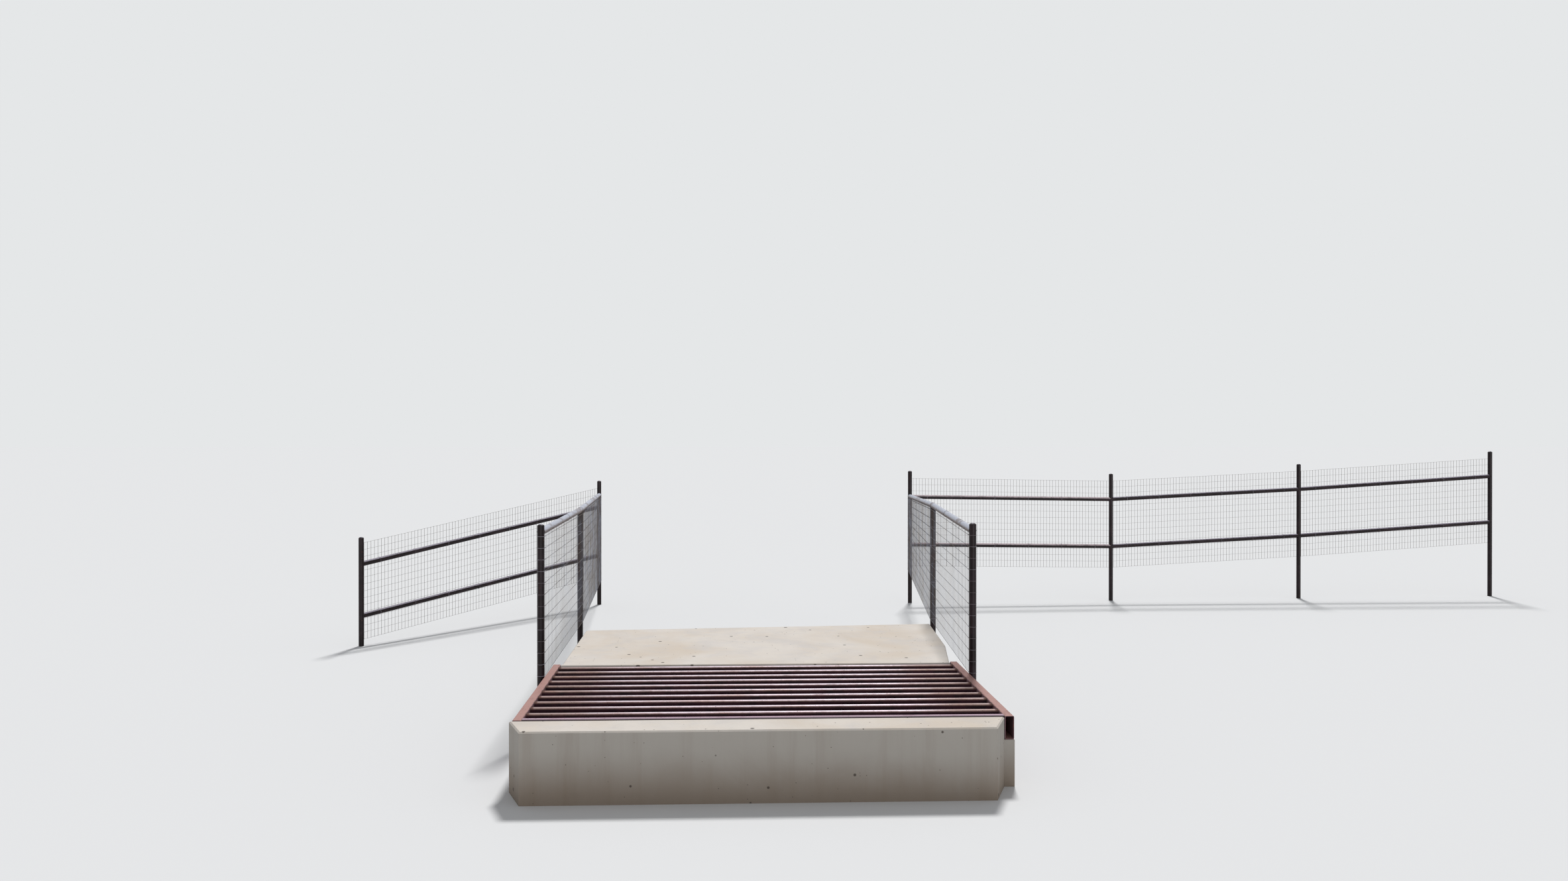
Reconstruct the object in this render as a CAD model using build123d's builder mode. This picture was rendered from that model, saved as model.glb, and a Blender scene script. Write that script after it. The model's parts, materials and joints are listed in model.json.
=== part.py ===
from build123d import *

import os
from math import cos, radians, sin

# Cattle grid of round pipes, with pipe wing fences and the first bays of the line fence
# +X runs along the pipes, +Y in the direction of travel over them, +Z up, in millimetres
# The origin is on the underside of the near footing, on the grid's centre line,
# straight below its near edge

# Level of the driving surface above the underside of the footings
surface = 600

# Steel grid: outer width over the side rails, round pipes laid across the direction of travel
grid_width = 4270
pipe_count = 10
pipe_pitch = 203
pipe_od = 73
pipe_wall = 7
near_web_gap = 153
far_web_gap = 60

# Frame round the pipes: box side rails, and folded channels across their ends, toes outwards
rail_depth = 200
rail_flange = 80
rail_wall = 6
rail_bend = 12

# Rolled beams under the pipes, in line with the direction of travel
bearer_count = 5
bearer_flange = 76
bearer_wall = 6

# Concrete footings, with a ledge that the frame sits on
ledge_width = 200
frame_gap = 6
header_gap = 16
header_depth = 340
header_inset = 35
header_splay = 145
header_shift = -55
arris = 12

# Approach slab beyond the grid, thin between turned-down edges
slab_thickness = 150
edge_beam = 200
far_upstand = 350
lip_thickness = 40
lip_reach = 60
lip_clearance = 5
slab_near_left = 2040
slab_near_right = 2050
slab_bend_right = 2195
slab_far_right = 2290
slab_bend_length = 880
slab_left_length = 1955
slab_right_length = 2270

# Fence pipes, capped or welded shut at both ends, so they are drawn solid
post_od = 73
cap_rise = 18
rail_od = 73
weld_gap = 0.2

# Wing fences: near post, mid post and corner post on each side of the grid
near_post_y = 1660
mid_post_y = 4825
corner_post_y = 10010
right_mid_flare = 230
right_corner_flare = 850
left_mid_flare = 30
left_corner_flare = 380
near_post_height = 1520
wing_rail_near = 1440
right_wing_rail_mid = 1490
left_wing_rail_mid = 1440
right_wing_rail_corner = 1320
left_wing_rail_corner = 1350

# Line fence: three bays to the right, one falling bay to the left
line_post_height = 1780
line_top_rail = 1310
line_low_rail = 450
line_mesh_top = 1640
right_bays = (3723, 3574, 3743)
right_heading = 2.2
right_ground = (0, -60, 110, 340)
left_bay = 4710
left_heading = 231
left_ground = -170
left_end_top = 960
left_end_top_rail = 573
left_end_low_rail = -169
left_end_mesh_top = 860
left_end_mesh_foot = -520

# Welded wire mesh, drawn with its main wires only; on the wings it ends under the top rail
wire = 5
wing_mesh_foot = 5
wing_mesh_drop = 44
line_mesh_foot = 60
mesh_end_gap = 1
mesh_cell_width = 640
mesh_rows = 4

inner_half = grid_width / 2 - rail_flange
header_half_width = grid_width / 2 - header_inset
frame_foot = surface - rail_depth
pipe_radius = pipe_od / 2
pipe_axis_z = surface - pipe_radius
bearer_depth = rail_depth - pipe_od
first_pipe_y = rail_flange + near_web_gap
last_pipe_y = first_pipe_y + (pipe_count - 1) * pipe_pitch
far_web_y = last_pipe_y + far_web_gap
far_frame_end = far_web_y + rail_flange
post_radius = post_od / 2
rail_radius = rail_od / 2
near_post_x = grid_width / 2 + post_radius

os.makedirs("parts", exist_ok=True)


def save(part, name):
    """Label a finished piece and write it as its own file."""
    part.label = name
    export_step(part, f"parts/{name}.step")


def make_near_footing():
    """Cast footing with the header strip that shows beside the frame."""
    front = -header_gap - header_depth
    with BuildPart() as footing:
        with BuildSketch():
            with BuildLine():
                Polyline(
                    (-grid_width / 2, ledge_width),
                    (grid_width / 2, ledge_width),
                    (grid_width / 2, -header_gap),
                    (header_half_width + header_shift, -header_gap),
                    (header_half_width - header_splay + header_shift, front),
                    (-header_half_width + header_splay + header_shift, front),
                    (-header_half_width + header_shift, -header_gap),
                    (-grid_width / 2, -header_gap),
                    close=True,
                )
            make_face()
        extrude(amount=surface)
        with BuildSketch(Plane.XY.offset(frame_foot)):
            with Locations((0, -header_gap)):
                Rectangle(2 * grid_width, 2 * ledge_width, align=(Align.CENTER, Align.MIN))
        extrude(amount=rail_depth, mode=Mode.SUBTRACT)
        chamfer(footing.faces().sort_by(Axis.Z)[-1].edges(), length=arris)
    return footing.part


def slab_outline():
    """Corners of the approach slab in plan, starting at its near left corner."""
    start = far_frame_end + frame_gap
    return [
        (-slab_near_left, start),
        (-slab_near_left, start + slab_left_length),
        (slab_far_right, start + slab_right_length),
        (slab_bend_right, start + slab_bend_length),
        (slab_near_right, start),
    ]


def make_far_slab():
    """Far footing and approach slab, cast in one, with a lip over the frame's far member."""
    start = far_frame_end + frame_gap
    reach = start + slab_right_length
    with BuildPart() as slab:
        with BuildSketch():
            Polygon(*slab_outline(), align=None)
        extrude(amount=surface)
        with BuildSketch():
            Polygon(*slab_outline(), align=None)
            offset(amount=-edge_beam, kind=Kind.INTERSECTION, mode=Mode.REPLACE)
            with Locations((0, start + far_upstand)):
                Rectangle(
                    2 * grid_width,
                    reach,
                    align=(Align.CENTER, Align.MIN),
                    mode=Mode.INTERSECT,
                )
        extrude(amount=surface - slab_thickness, mode=Mode.SUBTRACT)
        with BuildSketch():
            with Locations((0, start)):
                Rectangle(
                    grid_width,
                    ledge_width - frame_gap,
                    align=(Align.CENTER, Align.MAX),
                )
        extrude(amount=frame_foot)
        with BuildSketch(Plane.XY.offset(surface - lip_thickness)):
            with Locations((0, start)):
                Rectangle(
                    2 * (inner_half - lip_clearance),
                    lip_reach + frame_gap,
                    align=(Align.CENTER, Align.MAX),
                )
        extrude(amount=lip_thickness)
        chamfer(slab.faces().sort_by(Axis.Z)[-1].edges(), length=arris)
    return slab.part


def channel_section(plane, web, outwards, top, depth):
    """Section of a folded channel: its web's face against the grid at web, toes outwards."""
    toes = Align.MIN if outwards > 0 else Align.MAX
    web_side = 0 if outwards > 0 else -1
    middle = top - depth / 2
    with BuildSketch(plane) as section:
        with Locations((web, middle)):
            Rectangle(rail_flange, depth, align=(toes, Align.CENTER))
        fillet(section.vertices().group_by(Axis.X)[web_side], radius=rail_bend)
        with BuildSketch(mode=Mode.SUBTRACT) as hollow:
            with Locations((web + outwards * rail_wall, middle)):
                Rectangle(rail_flange, depth - 2 * rail_wall, align=(toes, Align.CENTER))
            inner_corners = hollow.vertices().group_by(Axis.X)[web_side]
            fillet(inner_corners, radius=rail_bend - rail_wall)
    return section.sketch


def make_side_rail(side):
    """Side rail of the frame: a box section, open at both ends, against the pipe ends."""
    hollow_width = rail_flange - 2 * rail_wall
    hollow_depth = rail_depth - 2 * rail_wall
    with BuildPart() as rail:
        with BuildSketch(Plane.XZ):
            with Locations((side * (inner_half + rail_flange / 2), surface - rail_depth / 2)):
                RectangleRounded(rail_flange, rail_depth, rail_bend)
                RectangleRounded(
                    hollow_width,
                    hollow_depth,
                    rail_bend - rail_wall,
                    mode=Mode.SUBTRACT,
                )
        extrude(amount=-far_frame_end)
    return rail.part


def make_edge_member(web_y, outwards, top):
    """Channel across the end of the frame, between the side rails."""
    start = Plane.YZ.offset(-inner_half)
    section = channel_section(start, web_y, outwards, top, top - frame_foot)
    with BuildPart() as member:
        extrude(section, amount=2 * inner_half)
    return member.part


def make_bearer(x):
    """Rolled beam under the pipes, from one edge member's web to the other."""
    mid_z = frame_foot + bearer_depth / 2
    flange_z = bearer_depth / 2 - bearer_wall / 2
    with BuildPart() as bearer:
        with BuildSketch(Plane.XZ.offset(-rail_flange)):
            with Locations((x, mid_z)):
                Rectangle(bearer_wall, bearer_depth)
                with Locations((0, flange_z), (0, -flange_z)):
                    Rectangle(bearer_flange, bearer_wall)
        extrude(amount=-(far_web_y - rail_flange))
    return bearer.part


def make_grid_pipe(y):
    """Round pipe between the side rails."""
    with BuildPart() as pipe:
        with BuildSketch(Plane.YZ.offset(-inner_half)):
            with Locations((y, pipe_axis_z)):
                Circle(pipe_radius)
                Circle(pipe_radius - pipe_wall, mode=Mode.SUBTRACT)
        extrude(amount=2 * inner_half)
    return pipe.part


def make_capped_post(x, y, top):
    """Pipe post from the footing level to a low domed cap."""
    shoulder = top - cap_rise
    dome_radius = (post_radius**2 + cap_rise**2) / (2 * cap_rise)
    upright = Plane(origin=(x, y, 0), x_dir=(1, 0, 0), z_dir=(0, -1, 0))
    with BuildPart() as post:
        with BuildSketch(upright):
            with BuildLine():
                Polyline((0, top), (0, 0), (post_radius, 0), (post_radius, shoulder))
                RadiusArc((post_radius, shoulder), (0, top), -dome_radius)
            make_face()
        revolve(axis=Axis((x, y, 0), (0, 0, 1)))
    return post.part


def rail_run(points, radius):
    """Round bar along points, mitred where it turns."""
    with BuildPart() as run:
        with BuildLine() as path:
            Polyline(*points)
        with BuildSketch(Plane(origin=path.line @ 0, z_dir=path.line % 0)):
            Circle(radius)
        sweep(path=path.line, transition=Transition.RIGHT)
    return run.part


def make_fence_rail(points, posts, neighbours=()):
    """Rail whose ends are shaped to the posts that it is welded between."""
    tallest = surface + 2 * line_post_height
    with BuildPart() as rail:
        add(rail_run(points, rail_radius))
        with BuildSketch():
            with Locations(*posts):
                Circle(post_radius + weld_gap)
        extrude(amount=tallest, mode=Mode.SUBTRACT)
        for neighbour in neighbours:
            add(neighbour, mode=Mode.SUBTRACT)
    return rail.part


def make_saddled_post(x, y, rail_points):
    """Pipe post whose top is shaped to the rail that lies on it."""
    with BuildPart() as post:
        with BuildSketch():
            with Locations((x, y)):
                Circle(post_radius)
        extrude(amount=rail_points[1][2])
        add(rail_run(rail_points, rail_radius + weld_gap), mode=Mode.SUBTRACT)
    return post.part


def between(low, high, share):
    """Value a share of the way from low to high."""
    return low + (high - low) * share


def make_mesh_panel(start, end, feet, tops, side):
    """Wire panel along one bay, on one side of its posts: -1 left of the run, 1 right."""
    run = Vector(end[0] - start[0], end[1] - start[1], 0)
    length = run.length
    along = run.normalized()
    face_offset = post_radius if side > 0 else -post_radius - wire
    plane = Plane(
        origin=(start[0], start[1], 0),
        x_dir=along,
        z_dir=along.cross(Vector(0, 0, 1)),
    )
    first = mesh_end_gap
    last = length - mesh_end_gap
    columns = max(1, round((last - first) / mesh_cell_width))

    def corner(u, share):
        foot = between(feet[0], feet[1], u / length)
        top = between(tops[0], tops[1], u / length)
        return (u, between(foot, top, share))

    with BuildPart() as panel:
        with BuildSketch(plane.offset(face_offset)):
            Polygon(
                corner(first, 0),
                corner(last, 0),
                corner(last, 1),
                corner(first, 1),
                align=None,
            )
            for column in range(columns):
                left = between(first, last, column / columns) + wire
                right = between(first, last, (column + 1) / columns)
                if column == columns - 1:
                    right -= wire
                for row in range(mesh_rows):
                    height = corner(left, 1)[1] - corner(left, 0)[1]
                    low = row / mesh_rows + wire / height
                    high = (row + 1) / mesh_rows
                    if row == mesh_rows - 1:
                        high -= wire / height
                    Polygon(
                        corner(left, low),
                        corner(right, low),
                        corner(right, high),
                        corner(left, high),
                        align=None,
                        mode=Mode.SUBTRACT,
                    )
        extrude(amount=wire)
    return panel.part


def build_grid():
    """Footings, frame, bearers and pipes."""
    save(make_near_footing(), "near_footing")
    save(make_far_slab(), "far_footing_slab")
    save(make_side_rail(-1), "left_side_rail")
    save(make_side_rail(1), "right_side_rail")
    save(make_edge_member(rail_flange, -1, surface), "near_edge_member")
    save(make_edge_member(far_web_y, 1, surface - lip_thickness), "far_edge_member")
    bearer_pitch = 2 * inner_half / (bearer_count + 1)
    for index in range(bearer_count):
        x = (index + 1) * bearer_pitch - inner_half
        save(make_bearer(x), f"bearer_{index + 1}")
    for index in range(pipe_count):
        save(make_grid_pipe(first_pipe_y + index * pipe_pitch), f"grid_pipe_{index + 1}")


def build_wing(side, name, flares, rail_heights, corner_ground):
    """One wing fence, whose near post stands against the side rail."""
    near = (side * near_post_x, near_post_y)
    mid = (side * (near_post_x + flares[0]), mid_post_y)
    corner = (side * (near_post_x + flares[1]), corner_post_y)
    levels = [surface + height for height in rail_heights]
    points = [(*spot, level) for spot, level in zip((near, mid, corner), levels)]
    save(make_capped_post(*near, surface + near_post_height), f"{name}_near_post")
    save(make_saddled_post(*mid, points), f"{name}_mid_post")
    corner_top = surface + corner_ground + line_post_height
    save(make_capped_post(*corner, corner_top), f"{name}_corner_post")
    rail = make_fence_rail(points, [near, corner])
    save(rail, f"{name}_wing_rail")
    foot = surface + wing_mesh_foot
    corner_foot = foot + corner_ground
    tops = [level - wing_mesh_drop for level in levels]
    near_panel = make_mesh_panel(near, mid, (foot, foot), tops[:2], -side)
    save(near_panel, f"{name}_wing_mesh_near")
    far_feet = (foot, corner_foot)
    far_panel = make_mesh_panel(mid, corner, far_feet, tops[1:], -side)
    save(far_panel, f"{name}_wing_mesh_far")
    return corner, rail


def build_right_line(corner, wing_rail):
    """Three bays of line fence to the right of the corner post."""
    heading = radians(right_heading)
    spots = [corner]
    for bay in right_bays:
        last = spots[-1]
        spots.append((last[0] + bay * cos(heading), last[1] + bay * sin(heading)))
    ground = [surface + level for level in right_ground]
    for bay in range(len(spots) - 1):
        ends = spots[bay : bay + 2]
        levels = ground[bay : bay + 2]
        number = bay + 1
        post_top = levels[1] + line_post_height
        save(make_capped_post(*ends[1], post_top), f"right_line_post_{number}")
        for height, label in ((line_top_rail, "top"), (line_low_rail, "low")):
            points = [(*spot, level + height) for spot, level in zip(ends, levels)]
            crossing = [wing_rail] if bay == 0 and label == "top" else []
            rail = make_fence_rail(points, ends, crossing)
            save(rail, f"right_{label}_rail_{number}")
        feet = [level + line_mesh_foot for level in levels]
        tops = [level + line_mesh_top for level in levels]
        save(make_mesh_panel(*ends, feet, tops, -1), f"right_line_mesh_{number}")


def build_left_line(corner):
    """One bay of line fence to the left, which falls with the ground."""
    heading = radians(left_heading)
    end = (corner[0] + left_bay * cos(heading), corner[1] + left_bay * sin(heading))
    ground = surface + left_ground
    save(make_capped_post(*end, surface + left_end_top), "left_line_post")
    rails = (
        ("top", ground + line_top_rail, surface + left_end_top_rail),
        ("low", ground + line_low_rail, surface + left_end_low_rail),
    )
    for label, start_z, end_z in rails:
        rail = make_fence_rail([(*corner, start_z), (*end, end_z)], [corner, end])
        save(rail, f"left_{label}_rail")
    feet = (ground + line_mesh_foot, surface + left_end_mesh_foot)
    tops = (ground + line_mesh_top, surface + left_end_mesh_top)
    save(make_mesh_panel(corner, end, feet, tops, 1), "left_line_mesh")


def main():
    """Build every piece and write it."""
    build_grid()
    right_corner, right_rail = build_wing(
        1,
        "right",
        (right_mid_flare, right_corner_flare),
        (wing_rail_near, right_wing_rail_mid, right_wing_rail_corner),
        right_ground[0],
    )
    left_corner, _ = build_wing(
        -1,
        "left",
        (left_mid_flare, left_corner_flare),
        (wing_rail_near, left_wing_rail_mid, left_wing_rail_corner),
        left_ground,
    )
    build_right_line(right_corner, right_rail)
    build_left_line(left_corner)


main()
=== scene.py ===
"""Looks of a cattle grid with pipe wing fences and line fence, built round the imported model.

Lengths are in metres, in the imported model's frame: +X along the pipes, +Y in the direction
of travel over them, +Z up, with the driving surface at 0.600.
"""

import json
import logging
import math
from dataclasses import dataclass
from enum import Enum

import bpy
from mathutils import Matrix, Vector

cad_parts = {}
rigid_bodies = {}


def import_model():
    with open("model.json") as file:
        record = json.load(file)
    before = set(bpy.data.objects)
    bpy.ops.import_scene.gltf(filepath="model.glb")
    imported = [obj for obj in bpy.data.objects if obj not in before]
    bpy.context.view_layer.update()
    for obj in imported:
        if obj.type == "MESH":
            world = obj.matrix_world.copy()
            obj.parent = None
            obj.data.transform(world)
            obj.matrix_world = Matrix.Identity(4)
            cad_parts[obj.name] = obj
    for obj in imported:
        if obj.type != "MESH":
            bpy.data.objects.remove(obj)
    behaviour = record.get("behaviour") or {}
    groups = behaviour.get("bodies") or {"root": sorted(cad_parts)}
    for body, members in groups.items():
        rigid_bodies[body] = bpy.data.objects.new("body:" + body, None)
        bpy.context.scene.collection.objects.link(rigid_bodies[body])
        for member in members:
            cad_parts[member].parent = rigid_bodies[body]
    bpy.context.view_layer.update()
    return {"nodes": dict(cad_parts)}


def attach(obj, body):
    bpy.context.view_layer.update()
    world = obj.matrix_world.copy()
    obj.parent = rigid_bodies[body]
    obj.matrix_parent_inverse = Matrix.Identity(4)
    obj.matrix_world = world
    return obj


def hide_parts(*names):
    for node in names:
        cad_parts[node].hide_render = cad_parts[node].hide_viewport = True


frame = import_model()

LOG = logging.getLogger("cattle_grid")
Piece = bpy.types.Object
Socket = bpy.types.NodeSocket
Colour = tuple[float, float, float, float]
Triple = tuple[float, float, float]
Spot = tuple[float, float]
UP = Vector((0.0, 0.0, 1.0))
FULL_TURN = 2 * math.pi
SURFACE = 0.600
PIPE_RADIUS = 0.0365


class Side(Enum):
    """Side of the grid, as its sign along X."""

    LEFT = -1
    RIGHT = 1

    @property
    def label(self) -> str:
        """Name of the side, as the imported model's nodes have it."""
        return self.name.lower()


class Slot(Enum):
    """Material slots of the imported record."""

    FRAME_STEEL = "frame_steel"
    FENCE_PAINT = "fence_paint"
    MESH_WIRE = "mesh_wire"


def deselect_all() -> None:
    """Leave nothing selected and nothing active."""
    for thing in bpy.context.view_layer.objects:
        thing.select_set(False)
    bpy.context.view_layer.objects.active = None


def activate(*pieces: Piece) -> None:
    """Select only these pieces and make the first one active.

    Args:
        pieces: The objects that the next operator acts on.
    """
    deselect_all()
    for piece in pieces:
        piece.select_set(True)
    bpy.context.view_layer.objects.active = pieces[0]


def add_object(name: str, data: bpy.types.ID) -> Piece:
    """Put new data into the scene.

    Args:
        name: The object's name.
        data: Its mesh, curve, lamp or camera.

    Returns:
        The new object.
    """
    thing = bpy.data.objects.new(name, data)
    bpy.context.scene.collection.objects.link(thing)
    return thing


def settle(piece: Piece) -> Piece:
    """Put a piece's place into its mesh, turn its faces outwards and smooth its curved faces.

    Args:
        piece: A mesh object.

    Returns:
        The same piece.
    """
    sharp_from = math.radians(40)
    activate(piece)
    bpy.ops.object.transform_apply(location=True, rotation=True, scale=True)
    bpy.ops.object.mode_set(mode="EDIT")
    bpy.ops.mesh.select_all(action="SELECT")
    bpy.ops.mesh.remove_doubles(threshold=0.00001)
    bpy.ops.mesh.normals_make_consistent(inside=False)
    bpy.ops.object.mode_set(mode="OBJECT")
    bpy.ops.object.shade_smooth_by_angle(angle=sharp_from)
    return piece


def join(name: str, parts: list[Piece]) -> Piece:
    """Join parts into one piece.

    Args:
        name: Name of the joined piece.
        parts: Mesh objects, which become one.

    Returns:
        The joined piece.
    """
    activate(*parts)
    bpy.ops.object.join()
    piece = bpy.context.view_layer.objects.active
    piece.name = name
    piece.data.name = name
    return piece


def make_tube(
    name: str,
    points: list[Vector],
    radius: float,
    closed: bool = False,
    ripple: float = 0.0,
    detail: int = 1,
) -> Piece:
    """Round tube along points, such as a weld bead or a bent wire.

    Args:
        name: Name of the piece.
        points: Points that the tube's middle passes through.
        radius: The tube's radius.
        closed: Whether the last point joins the first.
        ripple: How much thicker and thinner the tube is from point to point, as a share.
        detail: Bevel resolution of its round section.

    Returns:
        The tube, as a mesh.
    """
    curve = bpy.data.curves.new(name, "CURVE")
    curve.dimensions = "3D"
    curve.bevel_depth = radius
    curve.bevel_resolution = detail
    curve.use_fill_caps = not closed
    spline = curve.splines.new("POLY")
    spline.points.add(len(points) - 1)
    for index, (target, point) in enumerate(zip(spline.points, points)):
        target.co = (*point, 1.0)
        target.radius = 1.0 + ripple * math.cos(index * math.pi)
    spline.use_cyclic_u = closed
    activate(add_object(name, curve))
    bpy.ops.object.convert(target="MESH")
    return bpy.context.view_layer.objects.active


def make_prism(name: str, sides: int, rings: list[tuple[float, float]]) -> Piece:
    """Closed round bar along X, extruded ring by ring.

    Args:
        name: Name of the piece.
        sides: Number of sides.
        rings: Pairs of place along X and radius, from one end to the other.

    Returns:
        The bar, as a mesh.
    """
    start, radius = rings[0]
    bpy.ops.mesh.primitive_circle_add(
        vertices=sides,
        radius=radius,
        fill_type="NGON",
        location=(start, 0, 0),
        rotation=(0, math.pi / 2, 0),
    )
    piece = bpy.context.view_layer.objects.active
    piece.name = name
    bpy.ops.object.mode_set(mode="EDIT")
    for (before, old), (after, new) in zip(rings, rings[1:]):
        bpy.ops.mesh.extrude_region_move(TRANSFORM_OT_translate={"value": (after - before, 0, 0)})
        bpy.ops.transform.resize(value=(1, new / old, new / old))
    bpy.ops.object.mode_set(mode="OBJECT")
    return settle(piece)


def stamp(name: str, pattern: Piece, places: list[Matrix]) -> Piece:
    """Repeat a modelled pattern at many places, in one mesh.

    Args:
        name: Name of the new piece.
        pattern: The piece to repeat, which is removed afterwards.
        places: Where each copy goes.

    Returns:
        The new piece, smooth where the pattern is.
    """
    sharp_from = math.radians(60)
    corners = [vertex.co.copy() for vertex in pattern.data.vertices]
    faces = [tuple(face.vertices) for face in pattern.data.polygons]
    all_corners: list[Vector] = []
    all_faces: list[tuple[int, ...]] = []
    for place in places:
        first = len(all_corners)
        all_corners.extend(place @ corner for corner in corners)
        all_faces.extend(tuple(first + index for index in face) for face in faces)
    mesh = bpy.data.meshes.new(name)
    mesh.from_pydata(all_corners, [], all_faces)
    mesh.update()
    piece = add_object(name, mesh)
    activate(piece)
    bpy.ops.object.shade_smooth_by_angle(angle=sharp_from)
    bpy.data.objects.remove(pattern)
    return piece


def circle(steps: int) -> list[tuple[float, float]]:
    """Cosine and sine of evenly spaced angles, once round."""
    angles = [FULL_TURN * step / steps for step in range(steps)]
    return [(math.cos(angle), math.sin(angle)) for angle in angles]


def turned_to(spot: Vector, direction: Vector) -> Matrix:
    """Place at spot whose X axis points along direction."""
    return Matrix.Translation(spot) @ direction.to_track_quat("X", "Z").to_matrix().to_4x4()


def aim(start: Vector, end: Vector, thickness: float) -> Matrix:
    """Place that stretches a bar of unit length and width along X from start to end."""
    run = end - start
    return turned_to(start, run) @ Matrix.Diagonal((run.length, thickness, thickness, 1.0))


def mount(
    piece: Piece,
    material: bpy.types.Material,
    replaced: tuple[str, ...] = (),
) -> None:
    """Dress a finished piece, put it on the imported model's body and report it.

    Args:
        piece: The finished piece.
        material: Its material.
        replaced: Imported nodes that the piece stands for.
    """
    piece.data.materials.clear()
    piece.data.materials.append(material)
    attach(piece, "root")
    if replaced:
        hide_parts(*replaced)
    LOG.info("%s: %d faces", piece.name, len(piece.data.polygons))


def dress(material: bpy.types.Material, *nodes: str) -> None:
    """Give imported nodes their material.

    Args:
        material: The material.
        nodes: Names of the nodes.
    """
    for node in nodes:
        mesh = frame["nodes"][node].data
        mesh.materials.clear()
        mesh.materials.append(material)


def shade(red: int, green: int, blue: int) -> Colour:
    """Linear colour of a colour as a screen shows it.

    Args:
        red: Red from 0 to 255.
        green: Green from 0 to 255.
        blue: Blue from 0 to 255.

    Returns:
        The colour that shader sockets take.
    """
    values = [value / 255 for value in (red, green, blue)]
    linear = [v / 12.92 if v <= 0.04045 else ((v + 0.055) / 1.055) ** 2.4 for v in values]
    return (linear[0], linear[1], linear[2], 1.0)


class Nodes:
    """Adds nodes to a shader tree and links them."""

    def __init__(self, tree: bpy.types.NodeTree) -> None:
        """Work on tree."""
        self.tree = tree

    def feed(self, socket: Socket, value: object) -> None:
        """Link an output to a socket, or set the socket's own value.

        Args:
            socket: The input socket.
            value: An output socket, or a plain value.
        """
        if isinstance(value, Socket):
            self.tree.links.new(value, socket)
        else:
            socket.default_value = value

    def add(self, kind: str, **settings: object) -> bpy.types.Node:
        """Add a node.

        Args:
            kind: The node's type, without its ShaderNode prefix.
            settings: Values of the node's own properties.

        Returns:
            The new node.
        """
        node = self.tree.nodes.new("ShaderNode" + kind)
        for name, value in settings.items():
            setattr(node, name, value)
        return node

    def fed(self, kind: str, **values: object) -> bpy.types.Node:
        """Add a node and feed its inputs.

        Args:
            kind: The node's type, without its ShaderNode prefix.
            values: Its inputs by name, with _ for a space.

        Returns:
            The new node.
        """
        node = self.add(kind)
        for name, value in values.items():
            self.feed(node.inputs[name.replace("_", " ")], value)
        return node

    def position(self) -> Socket:
        """Object coordinates."""
        return self.add("TexCoord").outputs["Object"]

    def part(self, vector: Socket, axis: str) -> Socket:
        """One coordinate of a vector."""
        return self.fed("SeparateXYZ", Vector=vector).outputs[axis]

    def stretched(self, vector: Socket, scale: Triple) -> Socket:
        """Coordinates scaled along each axis."""
        return self.fed("Mapping", Vector=vector, Scale=scale).outputs["Vector"]

    def noise(
        self,
        vector: Socket,
        scale: object,
        detail: float = 4.0,
        roughness: float = 0.6,
        distortion: float = 0.0,
    ) -> Socket:
        """Cloudy noise from 0 to 1.

        Args:
            vector: Coordinates.
            scale: Scale, plain or from a socket.
            detail: Number of octaves.
            roughness: Share of the finer octaves.
            distortion: How far it is warped.

        Returns:
            The noise's value.
        """
        node = self.fed(
            "TexNoise",
            Vector=vector,
            Scale=scale,
            Detail=detail,
            Roughness=roughness,
            Distortion=distortion,
        )
        return node.outputs["Fac"]

    def span(self, value: Socket, low: object, high: object) -> Socket:
        """Mask that rises smoothly from 0 to 1.

        Args:
            value: The value to read.
            low: Where the mask is 0.
            high: Where the mask is 1.

        Returns:
            The mask.
        """
        node = self.fed("MapRange", Value=value, From_Min=low, From_Max=high)
        node.interpolation_type = "SMOOTHSTEP"
        return node.outputs["Result"]

    def calc(self, operation: str, first: object, second: object = 0.0) -> Socket:
        """Result of a sum on one or two values.

        Args:
            operation: The Math node's operation.
            first: First value.
            second: Second value.

        Returns:
            The result.
        """
        node = self.add("Math", operation=operation)
        self.feed(node.inputs[0], first)
        self.feed(node.inputs[1], second)
        return node.outputs[0]

    def plus(self, first: object, second: object) -> Socket:
        """First value plus the second."""
        return self.calc("ADD", first, second)

    def minus(self, first: object, second: object) -> Socket:
        """First value less the second."""
        return self.calc("SUBTRACT", first, second)

    def times(self, first: object, second: object) -> Socket:
        """First value times the second."""
        return self.calc("MULTIPLY", first, second)

    def inverse(self, mask: Socket) -> Socket:
        """What a mask leaves out."""
        return self.minus(1.0, mask)

    def between(self, mask: Socket, none: float, full: float) -> Socket:
        """Value that goes from none to full as a mask rises from 0 to 1."""
        return self.plus(self.times(mask, full - none), none)

    def layer(self, under: object, over: object, mask: Socket, share: float = 1.0) -> Socket:
        """Colour laid over another.

        Args:
            under: The colour below.
            over: The colour laid on it.
            mask: Where it lies.
            share: How much of it covers where the mask is 1.

        Returns:
            The mixed colour.
        """
        node = self.add("Mix", data_type="RGBA")
        covered = mask if share == 1.0 else self.times(mask, share)
        for index, value in ((0, covered), (6, under), (7, over)):
            self.feed(node.inputs[index], value)
        return node.outputs[2]

    def group(self, tree: bpy.types.NodeTree, **values: float) -> bpy.types.NodeOutputs:
        """Place a shader group.

        Args:
            tree: The group.
            values: Its inputs by name.

        Returns:
            The group's outputs.
        """
        node = self.add("Group", node_tree=tree)
        for name, value in values.items():
            self.feed(node.inputs[name], value)
        return node.outputs

    def mask(self, tree: bpy.types.NodeTree, **values: float) -> Socket:
        """Mask that a shader group puts out."""
        return self.group(tree, **values)["Mask"]


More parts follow.
